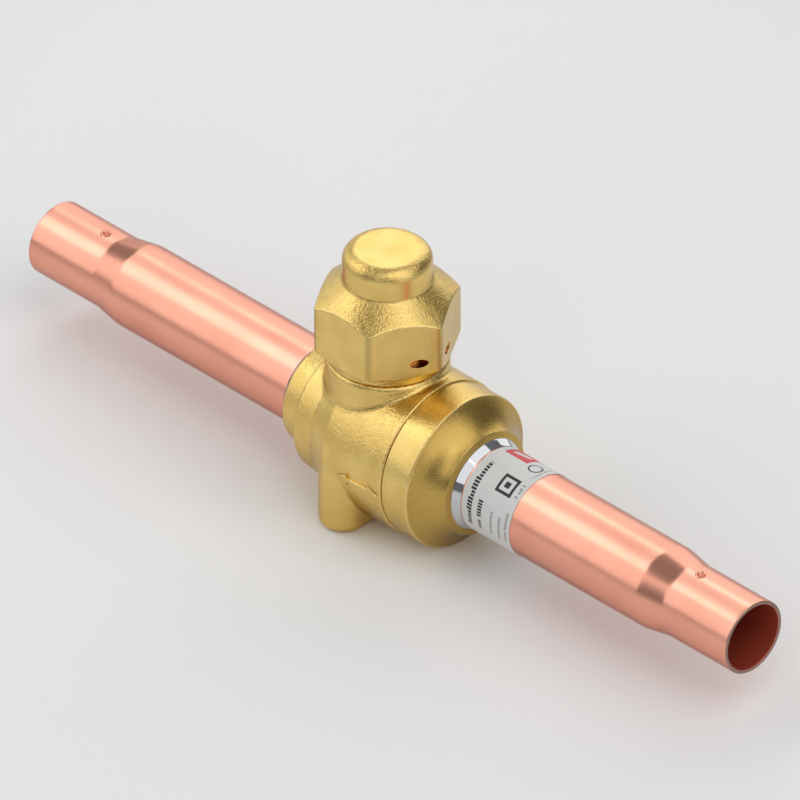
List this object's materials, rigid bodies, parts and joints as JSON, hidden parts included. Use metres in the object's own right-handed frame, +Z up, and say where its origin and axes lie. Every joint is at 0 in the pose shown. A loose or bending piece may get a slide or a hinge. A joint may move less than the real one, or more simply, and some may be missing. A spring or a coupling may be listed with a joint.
{
  "type": "refrigerant ball valve",
  "caption": "Straight brass shut-off ball valve with long copper solder tubes, a hexagon seal cap over the spindle and a mounting foot.",
  "frame": {"origin": "midway between the two mounting holes, on the foot's flat face", "axes": "+X along the pipe towards the outlet with the end nut, +Z up along the spindle to the seal cap"},
  "size_m": [0.2234, 0.0398, 0.0684],
  "materials": {
    "forged_brass": "fine blasted forging",
    "cap_brass": "fine blasted, turned top",
    "copper": "satin drawn copper tube",
    "silver_braze": "bright silver braze alloy",
    "chromed_ball": "hard chrome on brass, polished",
    "stem_steel": "turned and zinc plated",
    "ptfe": "smooth white PTFE",
    "seal_rubber": "matt black",
    "gasket_fibre": "pressed fibre sheet",
    "label_film": "white printed film"
  },
  "bodies": {
    "valve": {"valve_body": "forged_brass", "end_nut": "forged_brass", "inlet_tube": "copper", "outlet_tube": "copper", "inlet_braze": "silver_braze", "outlet_braze": "silver_braze", "inlet_seat": "ptfe", "outlet_seat": "ptfe", "inlet_seat_seal": "seal_rubber", "outlet_seat_seal": "seal_rubber", "end_nut_seal": "seal_rubber", "thrust_washer": "ptfe", "label": "label_film"},
    "stem": {"spindle": "stem_steel", "spindle_oring_lower": "seal_rubber", "spindle_oring_upper": "seal_rubber", "stop_plate": "stem_steel", "retaining_ring": "stem_steel"},
    "ball": {"ball": "chromed_ball"},
    "gasket": {"cap_gasket": "gasket_fibre"},
    "cap": {"seal_cap": "cap_brass"}
  },
  "joints": [
    {"name": "spindle_turn", "type": "hinge", "parent": "valve", "child": "stem", "pos_m": [0, 0, 0.019], "axis": [0, 0, 1], "range_deg": [-90, 0]},
    {"name": "ball_turn", "type": "hinge", "parent": "valve", "child": "ball", "pos_m": [0, 0, 0.019], "axis": [0, 0, 1], "range_deg": [-90, 0]},
    {"name": "cap_lift", "type": "slide", "parent": "valve", "child": "gasket", "axis": [0, 0, 1], "range_m": [0, 0.0151]},
    {"name": "cap_turn", "type": "hinge", "parent": "gasket", "child": "cap", "pos_m": [0, 0, 0.06], "axis": [0, 0, 1], "range_deg": [0, 3600]}
  ],
  "couplings": [
    {"joint": "ball_turn", "follows": "spindle_turn", "ratio": 1},
    {"joint": "cap_lift", "follows": "cap_turn", "m_per_rad": 0.00023873}
  ]
}
